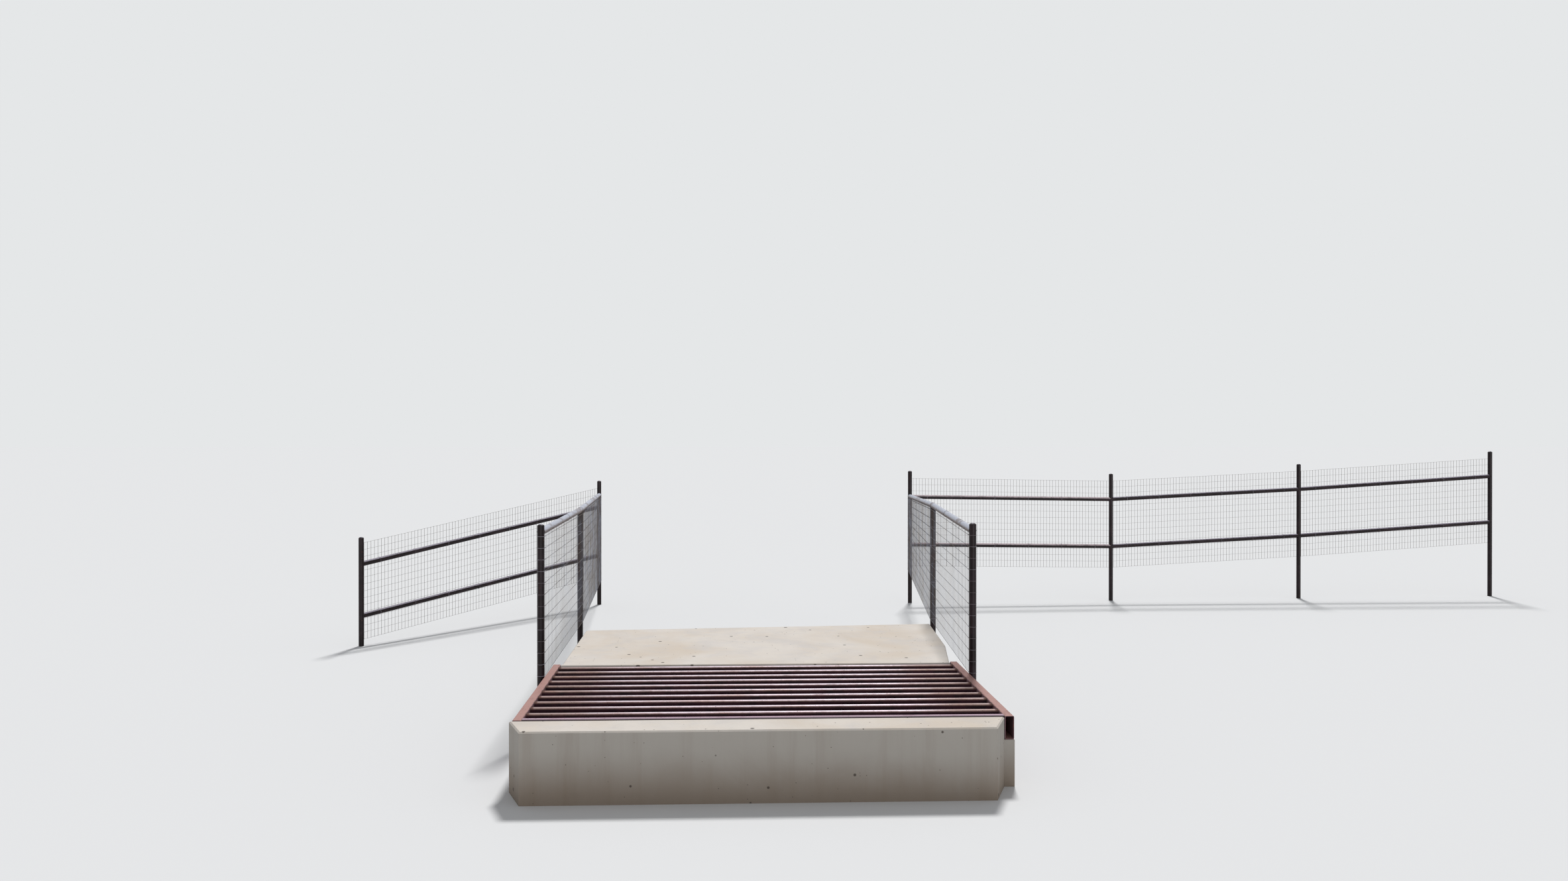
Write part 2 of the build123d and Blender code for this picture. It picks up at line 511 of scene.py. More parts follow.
class ShaderGroup(Nodes):
    """A shader group in the making, with float sockets."""

    def __init__(
        self, name: str, inputs: dict[str, float], outputs: tuple[str, ...] = ("Mask",)
    ) -> None:
        """Start the group.

        Args:
            name: The group's name.
            inputs: Input names and their usual values.
            outputs: Output names.
        """
        super().__init__(bpy.data.node_groups.new(name, "ShaderNodeTree"))
        sockets = self.tree.interface
        for label, value in inputs.items():
            socket = sockets.new_socket(label, in_out="INPUT", socket_type="NodeSocketFloat")
            socket.default_value = value
        for label in outputs:
            sockets.new_socket(label, in_out="OUTPUT", socket_type="NodeSocketFloat")
        self.given = self.tree.nodes.new("NodeGroupInput").outputs
        self.made = self.tree.nodes.new("NodeGroupOutput").inputs

    def close(self, **made: Socket) -> bpy.types.NodeTree:
        """Feed the group's outputs.

        Args:
            made: Values by the output's name.

        Returns:
            The finished group.
        """
        for name, value in made.items():
            self.feed(self.made[name], value)
        return self.tree


class Surface(Nodes):
    """A material in the making, with its shader."""

    def __init__(self, name: str) -> None:
        """Start the material.

        Args:
            name: The material's name.
        """
        self.material = bpy.data.materials.new(name)
        self.material.use_nodes = True
        super().__init__(self.material.node_tree)
        self.shader = self.tree.nodes["Principled BSDF"]

    def finish(
        self,
        colour: object,
        roughness: object,
        gloss: float = 0.5,
        metal: object = 0.0,
    ) -> bpy.types.Material:
        """Feed the shader's colour and gloss.

        Args:
            colour: Base colour.
            roughness: Roughness.
            gloss: Specular level.
            metal: Share of bare metal.

        Returns:
            The finished material.
        """
        inputs = self.shader.inputs
        self.feed(inputs["Base Color"], colour)
        self.feed(inputs["Roughness"], roughness)
        self.feed(inputs["Specular IOR Level"], gloss)
        self.feed(inputs["Metallic"], metal)
        return self.material

    def relief(self, height: Socket, depth: float) -> None:
        """Make the surface stand up by height, where 1 is depth in metres."""
        bump = self.fed("Bump", Strength=1.0, Distance=depth, Height=height)
        self.feed(self.shader.inputs["Normal"], bump.outputs["Normal"])


class Effects:
    """Shader groups for the wear that several finishes share."""

    def __init__(self) -> None:
        """Build each group once."""
        self.facing_up = self._facing_up()
        self.patches = self._patches()
        self.specks = self._specks()
        self.runs = self._runs()

    @staticmethod
    def _facing_up() -> bpy.types.NodeTree:
        """Mask of faces that look up, with a ragged edge.

        Returns:
            The shader group.
        """
        group = ShaderGroup("facing_up", {"Start": 0.5, "Full": 0.9, "Ragged": 0.3, "Scale": 20.0})
        given = group.given
        height = group.part(group.add("NewGeometry").outputs["Normal"], "Z")
        noise = group.noise(group.position(), given["Scale"], detail=5.0)
        wobble = group.times(group.minus(noise, 0.5), given["Ragged"])
        facing = group.plus(height, wobble)
        return group.close(Mask=group.span(facing, given["Start"], given["Full"]))

    @staticmethod
    def _patches() -> bpy.types.NodeTree:
        """Mask of ragged patches, and a grain that is finer by a fixed ratio.

        Returns:
            The shader group.
        """
        fineness = 22.0
        inputs = {"Scale": 6.0, "Start": 0.5, "Full": 0.6}
        group = ShaderGroup("patches", inputs, ("Mask", "Grain"))
        given = group.given
        place = group.position()
        clouds = group.noise(place, given["Scale"], detail=8.0, roughness=0.62, distortion=0.4)
        grain = group.times(given["Scale"], fineness)
        return group.close(
            Mask=group.span(clouds, given["Start"], given["Full"]),
            Grain=group.noise(place, grain, detail=5.0, roughness=0.7),
        )

    @staticmethod
    def _specks() -> bpy.types.NodeTree:
        """Mask of small round specks in a share of the cells.

        Returns:
            The shader group.
        """
        blur = 1.5
        group = ShaderGroup("specks", {"Scale": 20.0, "Share": 0.1, "Size": 0.2})
        given = group.given
        cells = group.fed("TexVoronoi", Vector=group.position(), Scale=given["Scale"]).outputs
        chance = group.fed("SeparateColor", Color=cells["Color"]).outputs
        chosen = group.calc("LESS_THAN", chance["Red"], given["Share"])
        size = group.times(chance["Green"], given["Size"])
        outside = group.span(cells["Distance"], size, group.times(size, blur))
        return group.close(Mask=group.times(chosen, group.inverse(outside)))

    @staticmethod
    def _runs() -> bpy.types.NodeTree:
        """Mask of narrow streaks that run down.

        Returns:
            The shader group.
        """
        group = ShaderGroup("runs", {"Scale": 30.0, "Start": 0.5, "Full": 0.7})
        given = group.given
        place = group.stretched(group.position(), (1.0, 1.0, 0.06))
        streaks = group.noise(place, given["Scale"])
        return group.close(Mask=group.span(streaks, given["Start"], given["Full"]))


@dataclass(frozen=True)
class ConcreteFinish:
    """Cast concrete: pale and broom-finished on top; its sides are greyed by painted shade and
    soiled.
    """

    pale: Colour = shade(225, 217, 208)
    warm: Colour = shade(215, 202, 187)
    cool: Colour = shade(206, 201, 198)
    # Darker grey for the faces that don't look up: painted shade.
    side: Colour = shade(168, 163, 156)
    soil: Colour = shade(118, 100, 82)
    speck: Colour = shade(62, 54, 48)
    roughness: float = 0.9
    broom_strokes: Triple = (3.0, 240.0, 3.0)
    relief: float = 0.0012

    def material(self, effects: Effects) -> bpy.types.Material:
        """Build the material.

        Args:
            effects: The shared shader groups.

        Returns:
            The material.
        """
        nodes = Surface("weathered_concrete")
        place = nodes.position()
        broad = nodes.noise(place, 0.9, detail=6.0, distortion=0.5)
        colour = nodes.layer(self.pale, self.warm, nodes.span(broad, low=0.35, high=0.7))
        clouds = nodes.mask(effects.patches, Scale=2.6, Start=0.42, Full=0.72)
        colour = nodes.layer(colour, self.cool, clouds, share=0.55)
        up = nodes.mask(effects.facing_up, Start=0.5, Full=0.9, Ragged=0.1, Scale=8.0)
        # Painted shade: faces that don't look up take the darker grey side colour.
        colour = nodes.layer(self.side, colour, up)
        height = nodes.plus(nodes.part(place, "Z"), nodes.times(broad, 0.3))
        low = nodes.inverse(nodes.span(height, low=0.15, high=0.62))
        colour = nodes.layer(colour, self.soil, low, share=0.7)
        runs = nodes.mask(effects.runs, Scale=6.0, Start=0.45, Full=0.8)
        colour = nodes.layer(colour, self.soil, nodes.times(runs, nodes.inverse(up)), share=0.28)
        large = nodes.mask(effects.specks, Scale=7.0, Share=0.42, Size=0.13)
        small = nodes.mask(effects.specks, Scale=38.0, Share=0.05, Size=0.22)
        specks = nodes.calc("MAXIMUM", large, small)
        colour = nodes.layer(colour, self.speck, specks, share=0.85)
        grain = nodes.noise(place, 260.0, roughness=0.7)
        colour = nodes.layer(colour, self.soil, grain, share=0.1)
        broom = nodes.noise(nodes.stretched(place, self.broom_strokes), 1.0, detail=3.0)
        rise = nodes.plus(nodes.times(broom, 0.5), grain)
        nodes.relief(nodes.minus(rise, specks), self.relief)
        return nodes.finish(colour, self.roughness)


@dataclass(frozen=True)
class FrameFinish:
    """Red-brown primer gone dusty and rusty, on the folded channels and the beams, with painted
    shade along the front where it is set.
    """

    name: str = "dusty_primer"
    primer: Colour = shade(118, 88, 94)
    dust: Colour = shade(172, 129, 121)
    rust: Colour = shade(152, 110, 103)
    dark: Colour = shade(72, 52, 58)
    gloss: float = 0.3
    scuff_strokes: Triple = (60.0, 4.0, 60.0)
    # Level on Y in front of which painted shade darkens the steel.
    front_shade_to: float = -1.0
    front_shade_fade: float = 0.008
    front_shade_ragged: float = 0.012
    relief: float = 0.0006

    def material(self, effects: Effects) -> bpy.types.Material:
        """Build the material.

        Args:
            effects: The shared shader groups.

        Returns:
            The material.
        """
        nodes = Surface(self.name)
        place = nodes.position()
        up = nodes.mask(effects.facing_up, Start=0.4, Full=0.95, Ragged=0.5, Scale=9.0)
        colour = nodes.layer(self.primer, self.dust, up)
        rust = nodes.group(effects.patches, Scale=7.0, Start=0.52, Full=0.68)
        rusted = nodes.times(rust["Mask"], 0.7)
        colour = nodes.layer(colour, self.rust, rusted)
        strokes = nodes.stretched(place, self.scuff_strokes)
        scuffs = nodes.noise(strokes, 1.0, detail=5.0, roughness=0.65)
        scuffed = nodes.span(scuffs, low=0.55, high=0.75)
        colour = nodes.layer(colour, self.dark, scuffed, share=0.45)
        specks = nodes.mask(effects.specks, Scale=60.0, Share=0.2, Size=0.3)
        colour = nodes.layer(colour, self.dark, specks, share=0.6)
        # Painted shade: the part in front of a given Y level turns dark, for the shadowed front
        # face of the near edge member.
        edge = nodes.plus(nodes.part(place, "Y"), nodes.times(scuffs, self.front_shade_ragged))
        unshaded = nodes.span(edge, self.front_shade_to, self.front_shade_to + self.front_shade_fade)
        colour = nodes.layer(colour, self.dark, nodes.inverse(unshaded), share=0.9)
        nodes.relief(nodes.plus(rust["Grain"], rusted), self.relief)
        roughness = nodes.between(rust["Grain"], none=0.42, full=0.72)
        return nodes.finish(colour, roughness, self.gloss)


@dataclass(frozen=True)
class PipeFinish:
    """Rusted bare pipe, rubbed bright along its top by tyres, with a painted highlight and painted
    sheen on its upper faces and painted shade at its ends.
    """

    crest: Colour = shade(216, 202, 212)
    sheen: Colour = shade(191, 170, 180)
    worn: Colour = shade(178, 151, 140)
    tan: Colour = shade(156, 114, 94)
    rust: Colour = shade(58, 24, 36)
    deep: Colour = shade(26, 6, 18)
    gloss: float = 0.2
    # Distances along X over which painted shade darkens the pipe ends.
    end_shade_from: float = 2.018
    end_shade_full: float = 2.038
    track_edge: float = 1.3
    track_end: float = 1.75
    rub_strokes: Triple = (1.0, 6.0, 6.0)
    relief: float = 0.0005

    def material(self, effects: Effects) -> bpy.types.Material:
        """Build the material.

        Args:
            effects: The shared shader groups.

        Returns:
            The material.
        """
        nodes = Surface("worn_highlit_pipe")
        rust = nodes.group(effects.patches, Scale=5.0, Start=0.38, Full=0.66)
        colour = nodes.layer(self.rust, self.deep, rust["Mask"])
        # Upper flanks lighter and tan: partly rust colour, partly painted light on the faces that
        # look up.
        shoulder = nodes.mask(effects.facing_up, Start=0.36, Full=0.9, Ragged=0.3, Scale=30.0)
        colour = nodes.layer(colour, self.tan, shoulder, share=0.35)
        place = nodes.position()
        strokes = nodes.stretched(place, self.rub_strokes)
        across = nodes.calc("ABSOLUTE", nodes.part(place, "X"))
        # Painted shade: the last few centimetres of each pipe, under the rail's flange, lose the
        # pale top band and stay dark.
        ends = nodes.span(across, self.end_shade_from, self.end_shade_full)
        track = nodes.inverse(nodes.span(across, self.track_edge, self.track_end))
        strokes_rubbed = nodes.noise(strokes, 3.2, detail=6.0, roughness=0.62)
        rubbed = nodes.span(strokes_rubbed, low=0.18, high=0.42)
        rubbed = nodes.times(rubbed, nodes.inverse(ends))
        rubbed = nodes.times(rubbed, nodes.between(track, none=0.74, full=1.0))
        # Tyre wear and painted highlight: the top band takes the pale worn colour.
        band = nodes.mask(effects.facing_up, Start=0.58, Full=1.0, Ragged=0.2, Scale=24.0)
        worn = nodes.times(band, rubbed)
        warm = nodes.span(nodes.noise(strokes, 2.0, detail=5.0), low=0.48, high=0.68)
        bright = nodes.layer(self.worn, self.tan, warm, share=0.8)
        wheels = nodes.between(track, none=0.2, full=0.8)
        wheels = nodes.times(wheels, nodes.between(warm, none=1.0, full=0.4))
        # Painted sheen: a lilac sky reflection on the upper faces, placed with the wheel-track
        # wear.
        top = nodes.mask(effects.facing_up, Start=0.42, Full=0.86, Ragged=0.2, Scale=16.0)
        bright = nodes.layer(bright, self.sheen, nodes.times(top, wheels))
        # Painted highlight: the crest line takes a near-white colour, placed with the wheel-track
        # wear.
        crest = nodes.mask(effects.facing_up, Start=0.84, Full=0.98, Ragged=0.08, Scale=24.0)
        bright = nodes.layer(bright, self.crest, nodes.times(crest, wheels))
        colour = nodes.layer(colour, bright, worn)
        specks = nodes.mask(effects.specks, Scale=90.0, Share=0.25, Size=0.3)
        colour = nodes.layer(colour, self.deep, specks, share=0.7)
        nodes.relief(nodes.minus(rust["Grain"], worn), self.relief)
        roughness = nodes.between(worn, none=0.72, full=0.40)
        metal = nodes.between(worn, none=0.0, full=0.15)
        return nodes.finish(colour, roughness, self.gloss, metal)


@dataclass(frozen=True)
class PaintFinish:
    """Paint on pipe: satin, with chalky dust and a painted highlight on top, and with chips and
    rust runs.
    """

    name: str = "black_paint"
    black: Colour = shade(20, 9, 12)
    faded: Colour = shade(47, 33, 39)
    # Pale top colour: chalky dust and painted highlight; on the post caps, a painted glint.
    chalk_and_highlight: Colour = shade(152, 144, 158)
    rust: Colour = shade(66, 40, 34)
    gloss: float = 0.22
    chalk_and_highlight_start: float = 0.72
    chalk_and_highlight_full: float = 1.0
    chalk_and_highlight_share: float = 0.85
    flaking: float = 0.0
    flake_scale: float = 9.0
    relief: float = 0.0003

    def material(self, effects: Effects) -> bpy.types.Material:
        """Build the material.

        Args:
            effects: The shared shader groups.

        Returns:
            The material.
        """
        nodes = Surface(self.name)
        fade = nodes.group(effects.patches, Scale=4.0, Start=0.4, Full=0.68)
        colour = nodes.layer(self.black, self.faded, fade["Mask"], share=0.7)
        runs = nodes.mask(effects.runs, Scale=48.0, Start=0.56, Full=0.74)
        colour = nodes.layer(colour, self.rust, runs, share=0.35)
        # Dust and painted highlight: the faces that look up take the pale colour.
        up = nodes.mask(
            effects.facing_up,
            Start=self.chalk_and_highlight_start,
            Full=self.chalk_and_highlight_full,
            Ragged=0.22,
            Scale=14.0,
        )
        flakes = nodes.mask(effects.patches, Scale=self.flake_scale, Start=0.5, Full=0.6)
        flaked_share = self.chalk_and_highlight_share * (1 - self.flaking)
        chalk_and_highlight_mask = nodes.times(up, nodes.between(flakes, self.chalk_and_highlight_share, flaked_share))
        colour = nodes.layer(colour, self.chalk_and_highlight, chalk_and_highlight_mask)
        chips = nodes.mask(effects.specks, Scale=34.0, Share=0.16, Size=0.26)
        colour = nodes.layer(colour, self.rust, chips, share=0.8)
        nodes.relief(nodes.minus(fade["Grain"], chips), self.relief)
        satin = nodes.between(fade["Grain"], none=0.26, full=0.51)
        return nodes.finish(colour, nodes.plus(satin, nodes.times(chalk_and_highlight_mask, 0.2)), self.gloss)


@dataclass(frozen=True)
class WireFinish:
    """Galvanised wire, dull grey with brown rust coming through."""

    name: str = "galvanised_wire"
    zinc: Colour = shade(116, 118, 128)
    brown: Colour = shade(80, 68, 62)
    roughness: float = 0.5
    relief: float = 0.0001

    def material(self, effects: Effects) -> bpy.types.Material:
        """Build the material.

        Args:
            effects: The shared shader groups.

        Returns:
            The material.
        """
        nodes = Surface(self.name)
        rust = nodes.group(effects.patches, Scale=3.0, Start=0.38, Full=0.62)
        nodes.relief(rust["Grain"], self.relief)
        return nodes.finish(
            nodes.layer(self.zinc, self.brown, rust["Mask"]),
            self.roughness,
            metal=nodes.between(rust["Mask"], none=0.3, full=0.0),
        )


class Finishes:
    """Every material of the part, built once."""

    def __init__(self) -> None:
        """Build the materials."""
        effects = Effects()
        self.concrete = ConcreteFinish().material(effects)
        self.frame = FrameFinish().material(effects)
        self.edge = FrameFinish(
            name="worn_primer_front_shaded",
            dust=shade(174, 145, 160),
            rust=shade(144, 110, 124),
            dark=shade(52, 34, 42),
            # Painted shade along the front of the near edge member.
            front_shade_to=0.030,
        ).material(effects)
        self.beam = FrameFinish(
            name="rusted_beam",
            primer=shade(82, 56, 54),
            dust=shade(120, 92, 84),
            rust=shade(84, 50, 38),
            dark=shade(36, 26, 26),
        ).material(effects)
        self.pipe = PipeFinish().material(effects)
        self.paint = PaintFinish().material(effects)
        self.wing_rail = PaintFinish(
            name="chalk_and_sheen_paint",
            # Brownish grey underside: painted shade, warmed by painted light bounced from the
            # ground.
            black=shade(108, 90, 84),
            faded=shade(132, 122, 126),
            # Pale blue over nearly the whole rail: chalky dust plus a painted sky sheen.
            chalk_and_highlight=shade(188, 192, 204),
            chalk_and_highlight_start=-0.1,
            chalk_and_highlight_full=0.5,
            chalk_and_highlight_share=0.95,
            flaking=0.7,
            flake_scale=1.9,
        ).material(effects)
        self.line_rail = PaintFinish(
            name="streaked_paint",
            # Pale top line of the line rails: painted highlight over chalky dust.
            chalk_and_highlight=shade(160, 152, 166),
            chalk_and_highlight_start=0.48,
            chalk_and_highlight_full=0.7,
            chalk_and_highlight_share=0.9,
            flaking=0.3,
        ).material(effects)
        self.pale_rail = PaintFinish(
            # Wide pale top on the first right bay's rails: painted highlight over chalky dust.
            name="highlit_pale_paint",
            chalk_and_highlight=shade(200, 184, 188),
            chalk_and_highlight_start=0.24,
            chalk_and_highlight_full=0.40,
            chalk_and_highlight_share=0.96,
            flaking=0.3,
        ).material(effects)
        self.weld = PaintFinish(
            name="painted_weld", rust=shade(112, 62, 44), chalk_and_highlight=shade(120, 112, 118)
        ).material(effects)
        self.wire = WireFinish().material(effects)
        self.line_wire = WireFinish(
            name="browned_wire", zinc=shade(80, 70, 62), brown=shade(62, 46, 34)
        ).material(effects)
        self.tie = WireFinish(
            name="bright_tie_wire", zinc=shade(168, 164, 176), brown=shade(112, 100, 104)
        ).material(effects)


@dataclass(frozen=True)
class Studio:
    """Camera, floor and light."""

    image_width: int = 2366
    focal_pixels: float = 1600.0
    axis_column: float = 1145.5
    place: Triple = (-0.367, -8.987, 2.987)
    yaw: float = 2.02
    pitch: float = -0.19
    sensor: float = 36.0
    floor_size: float = 600.0
    backdrop: Colour = (0.8, 0.8, 0.8, 1.0)
    horizon: Colour = shade(229, 231, 232)
    sky: Colour = (0.93, 0.96, 1.0, 1.0)
    sky_strength: float = 0.36
    sun_strength: float = 2.35
    sun_softness: float = 8.0
    sun_from: Triple = (0.12, 0.5, 0.86)
    fill_strength: float = 0.7
    fill_from: Triple = (0.25, -1.0, 0.03)

    def build(self) -> None:
        """Make the camera, the floor and the light."""
        self._camera()
        self._floor()
        self._sky()
        self._lamp("soft_lamp", self.sun_strength, self.sun_from)
        self._lamp("fill_lamp", self.fill_strength, self.fill_from)
        bpy.context.scene.view_settings.view_transform = "Standard"

    def _camera(self) -> None:
        """Camera at the photograph's place and angle."""
        data = bpy.data.cameras.new("camera")
        data.sensor_width = self.sensor
        data.lens = self.focal_pixels / self.image_width * self.sensor
        data.shift_x = (self.image_width / 2 - self.axis_column) / self.image_width
        data.clip_end = 2 * self.floor_size
        camera = add_object("camera", data)
        yaw = math.radians(self.yaw)
        look = Vector((math.sin(yaw), math.cos(yaw), math.tan(math.radians(self.pitch))))
        camera.location = self.place
        camera.rotation_euler = look.to_track_quat("-Z", "Y").to_euler()
        bpy.context.scene.camera = camera

    def _floor(self) -> None:
        """Plain pale floor, level with the underside of the footings."""
        bpy.ops.mesh.primitive_plane_add(size=self.floor_size)
        floor = bpy.context.view_layer.objects.active
        floor.name = "studio_floor"
        matt = Surface("pale_floor").finish(self.backdrop, roughness=1.0, gloss=0.0)
        floor.data.materials.append(matt)
        deselect_all()

    def _sky(self) -> None:
        """Even sky light, and a plain backdrop for what the camera and reflections see."""
        world = bpy.data.worlds.new("studio_sky")
        bpy.context.scene.world = world
        world.use_nodes = True
        nodes = Nodes(world.node_tree)
        lit = world.node_tree.nodes["Background"]
        nodes.feed(lit.inputs["Color"], self.sky)
        nodes.feed(lit.inputs["Strength"], self.sky_strength)
        seen = nodes.fed("Background", Color=self.horizon)
        rays = nodes.add("LightPath").outputs
        direct = nodes.calc("MAXIMUM", rays["Is Camera Ray"], rays["Is Glossy Ray"])
        direct = nodes.calc("MAXIMUM", direct, rays["Is Transmission Ray"])
        choice = nodes.add("MixShader")
        for socket, value in zip(choice.inputs, (direct, lit.outputs[0], seen.outputs[0])):
            nodes.feed(socket, value)
        nodes.feed(world.node_tree.nodes["World Output"].inputs["Surface"], choice.outputs[0])

    def _lamp(self, name: str, strength: float, origin: Triple) -> None:
        """Add a soft distant lamp.

        Args:
            name: The lamp's name.
            strength: Its strength.
            origin: Direction that it shines from.
        """
        data = bpy.data.lights.new(name, "SUN")
        data.energy = strength
        data.angle = math.radians(self.sun_softness)
        lamp = add_object(name, data)
        lamp.rotation_euler = Vector(origin).to_track_quat("Z", "Y").to_euler()


@dataclass(frozen=True)
class Footings:
    """Concrete header strip in front of the frame, and approach slab behind it."""

    nodes: tuple[str, ...] = ("near_footing", "far_footing_slab")

    def build(self, finishes: Finishes) -> None:
        """Dress the concrete."""
        dress(finishes.concrete, *self.nodes)


@dataclass(frozen=True)
class SteelGrid:
    """Channel frame, beams and round pipes, with the welds that hold them."""

    inner_half: float = 2.055
    frame_foot: float = 0.400
    pipe_count: int = 10
    first_pipe: float = 0.233
    pitch: float = 0.203
    near_web: float = 0.080
    far_web: float = 2.120
    bearer_count: int = 5
    bearer_flange: float = 0.076
    bead: float = 0.0045
    ripple: float = 0.12
    ring_points: int = 30
    bearer_weld_inset: float = 0.008
    bearer_weld_steps: int = 9
    bearer_weld_rise: float = 0.00438
    corner_weld_inset: float = 0.012
    corner_weld_steps: int = 32

    def build(self, finishes: Finishes) -> None:
        """Dress the steel and weld it.

        Args:
            finishes: The part's materials.
        """
        dress(finishes.frame, "left_side_rail", "right_side_rail", "far_edge_member")
        dress(finishes.edge, "near_edge_member")
        dress(finishes.beam, *(f"bearer_{index + 1}" for index in range(self.bearer_count)))
        dress(finishes.pipe, *(f"grid_pipe_{index + 1}" for index in range(self.pipe_count)))
        mount(self._pipe_end_welds(), finishes.beam)
        mount(self._bearer_welds(), finishes.beam)
        mount(self._corner_welds(), finishes.frame)

    @property
    def pipe_lines(self) -> list[float]:
        """Places of the pipes' axes in the direction of travel."""
        return [self.first_pipe + index * self.pitch for index in range(self.pipe_count)]

    def _straight_bead(self, name: str, start: Vector, end: Vector, steps: int) -> Piece:
        """Straight weld bead.

        Args:
            name: Name of the bead.
            start: Where it starts.
            end: Where it ends.
            steps: Number of ripples.

        Returns:
            The bead.
        """
        points = [start.lerp(end, step / steps) for step in range(steps + 1)]
        return settle(make_tube(name, points, self.bead, ripple=self.ripple))

    def _pipe_end_welds(self) -> Piece:
        """Bead round each end of each pipe.

        Returns:
            The beads, as one piece.
        """
        reach = PIPE_RADIUS + self.bead / 3
        ring = [Vector((0, reach * cos, reach * sin)) for cos, sin in circle(self.ring_points)]
        tube = make_tube("pipe_end_weld", ring, self.bead, closed=True, ripple=self.ripple)
        edge = self.inner_half - self.bead / 3
        places = [
            Matrix.Translation((side.value * edge, line, SURFACE - PIPE_RADIUS))
            for side in Side
            for line in self.pipe_lines
        ]
        return stamp("pipe_end_welds", settle(tube), places)

    def _bearer_welds(self) -> Piece:
        """Short beads each side of each pipe, where it lies on a beam.

        Returns:
            The beads, as one piece.
        """
        reach = Vector((self.bearer_flange / 2 - self.bearer_weld_inset, 0, 0))
        bead = self._straight_bead("bearer_weld", -reach, reach, self.bearer_weld_steps)
        level = SURFACE - 2 * PIPE_RADIUS + self.bearer_weld_rise
        across = math.sqrt(PIPE_RADIUS**2 - (PIPE_RADIUS - self.bearer_weld_rise) ** 2)
        pitch = 2 * self.inner_half / (self.bearer_count + 1)
        places = [
            Matrix.Translation((index * pitch - self.inner_half, line + side.value * across, level))
            for index in range(1, self.bearer_count + 1)
            for line in self.pipe_lines
            for side in Side
        ]
        return stamp("bearer_welds", bead, places)

    def _corner_welds(self) -> Piece:
        """Upright beads where the end channels meet the side rails.

        Returns:
            The beads, as one piece.
        """
        low = UP * (self.frame_foot + self.corner_weld_inset)
        high = UP * (SURFACE - self.corner_weld_inset)
        bead = self._straight_bead("corner_weld", low, high, self.corner_weld_steps)
        edge = self.inner_half - self.bead / 2
        webs = (self.near_web + self.bead / 3, self.far_web - self.bead / 3)
        places = [Matrix.Translation((side.value * edge, web, 0)) for side in Side for web in webs]
        return stamp("frame_corner_welds", bead, places)


@dataclass(frozen=True)
class Bay:
    """One bay of fence between two post axes, with the levels of its wire mesh."""

    start: Spot
    end: Spot
    feet: tuple[float, float]
    tops: tuple[float, float]
    outside: int

    @property
    def length(self) -> float:
        """Distance between the posts in plan."""
        return math.dist(self.start, self.end)

    @property
    def along(self) -> Vector:
        """Direction from the first post to the second, in plan."""
        return Vector((self.end[0] - self.start[0], self.end[1] - self.start[1], 0)).normalized()

    @property
    def outward(self) -> Vector:
        """Direction from the posts to the wire mesh."""
        return self.along.cross(UP) * self.outside

    def point(self, distance: float, share: float, offset: float = 0.0) -> Vector:
        """Point on the mesh.

        Args:
            distance: Distance from the first post along the bay.
            share: Height, from 0 at the mesh's foot to 1 at its top.
            offset: Distance of the point from the posts' axes, towards the mesh.

        Returns:
            The point.
        """
        part = distance / self.length
        foot = self.feet[0] + (self.feet[1] - self.feet[0]) * part
        top = self.tops[0] + (self.tops[1] - self.tops[0]) * part
        spot = Vector((*self.start, 0)) + self.along * distance + self.outward * offset
        return spot + UP * (foot + (top - foot) * share)


@dataclass(frozen=True)
class WireMesh:
    """Knotted wire: close upright stays, and line wires at twice their spacing."""

    name: str
    bay: Bay
    rows: int
    stay_wire: float
    line_wire: float
    stay_top: float = 1.0
    thickness: float = 0.005
    stay_pitch: float = 0.0564
    stay_margin: float = 0.012
    wire_sides: int = 5
    knot_sides: int = 4
    knot_radius: float = 0.0024
    knot_length: float = 0.011

    def build(self, material: bpy.types.Material, replaced: str) -> None:
        """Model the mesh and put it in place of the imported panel.

        Args:
            material: The wire's material.
            replaced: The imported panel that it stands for.
        """
        point = self.bay.point
        stays = self._stay_places()
        levels = [row / self.rows for row in range(self.rows + 1)]
        behind = PIPE_RADIUS + self.stay_wire / 2
        before = PIPE_RADIUS + self.thickness - self.line_wire / 2
        middle = PIPE_RADIUS + self.thickness / 2
        places = [
            aim(point(stay, 0, behind), point(stay, self.stay_top, behind), self.stay_wire)
            for stay in stays
        ]
        places += [
            aim(point(stays[0], level, before), point(stays[-1], level, before), self.line_wire)
            for level in levels
        ]
        bar = make_prism("wire_bar", self.wire_sides, [(0.0, 0.5), (1.0, 0.5)])
        wires = stamp("wires", bar, places)
        upright = Matrix.Rotation(math.pi / 2, 4, "Y")
        knots = [
            Matrix.Translation(point(stay, level, middle)) @ upright
            for stay in stays
            for level in levels
        ]
        end = (self.knot_length / 2, self.line_wire / 2)
        rings = [(-end[0], end[1]), (0.0, self.knot_radius), end]
        knot = make_prism("knot", self.knot_sides, rings)
        piece = join(self.name, [wires, stamp("knots", knot, knots)])
        mount(piece, material, (replaced,))

    def _stay_places(self) -> list[float]:
        """Distances of the stays from the first post.

        Returns:
            The distances, in order.
        """
        clear = self.bay.length - 2 * self.stay_margin
        count = round(clear / self.stay_pitch)
        return [self.stay_margin + clear * index / count for index in range(count + 1)]


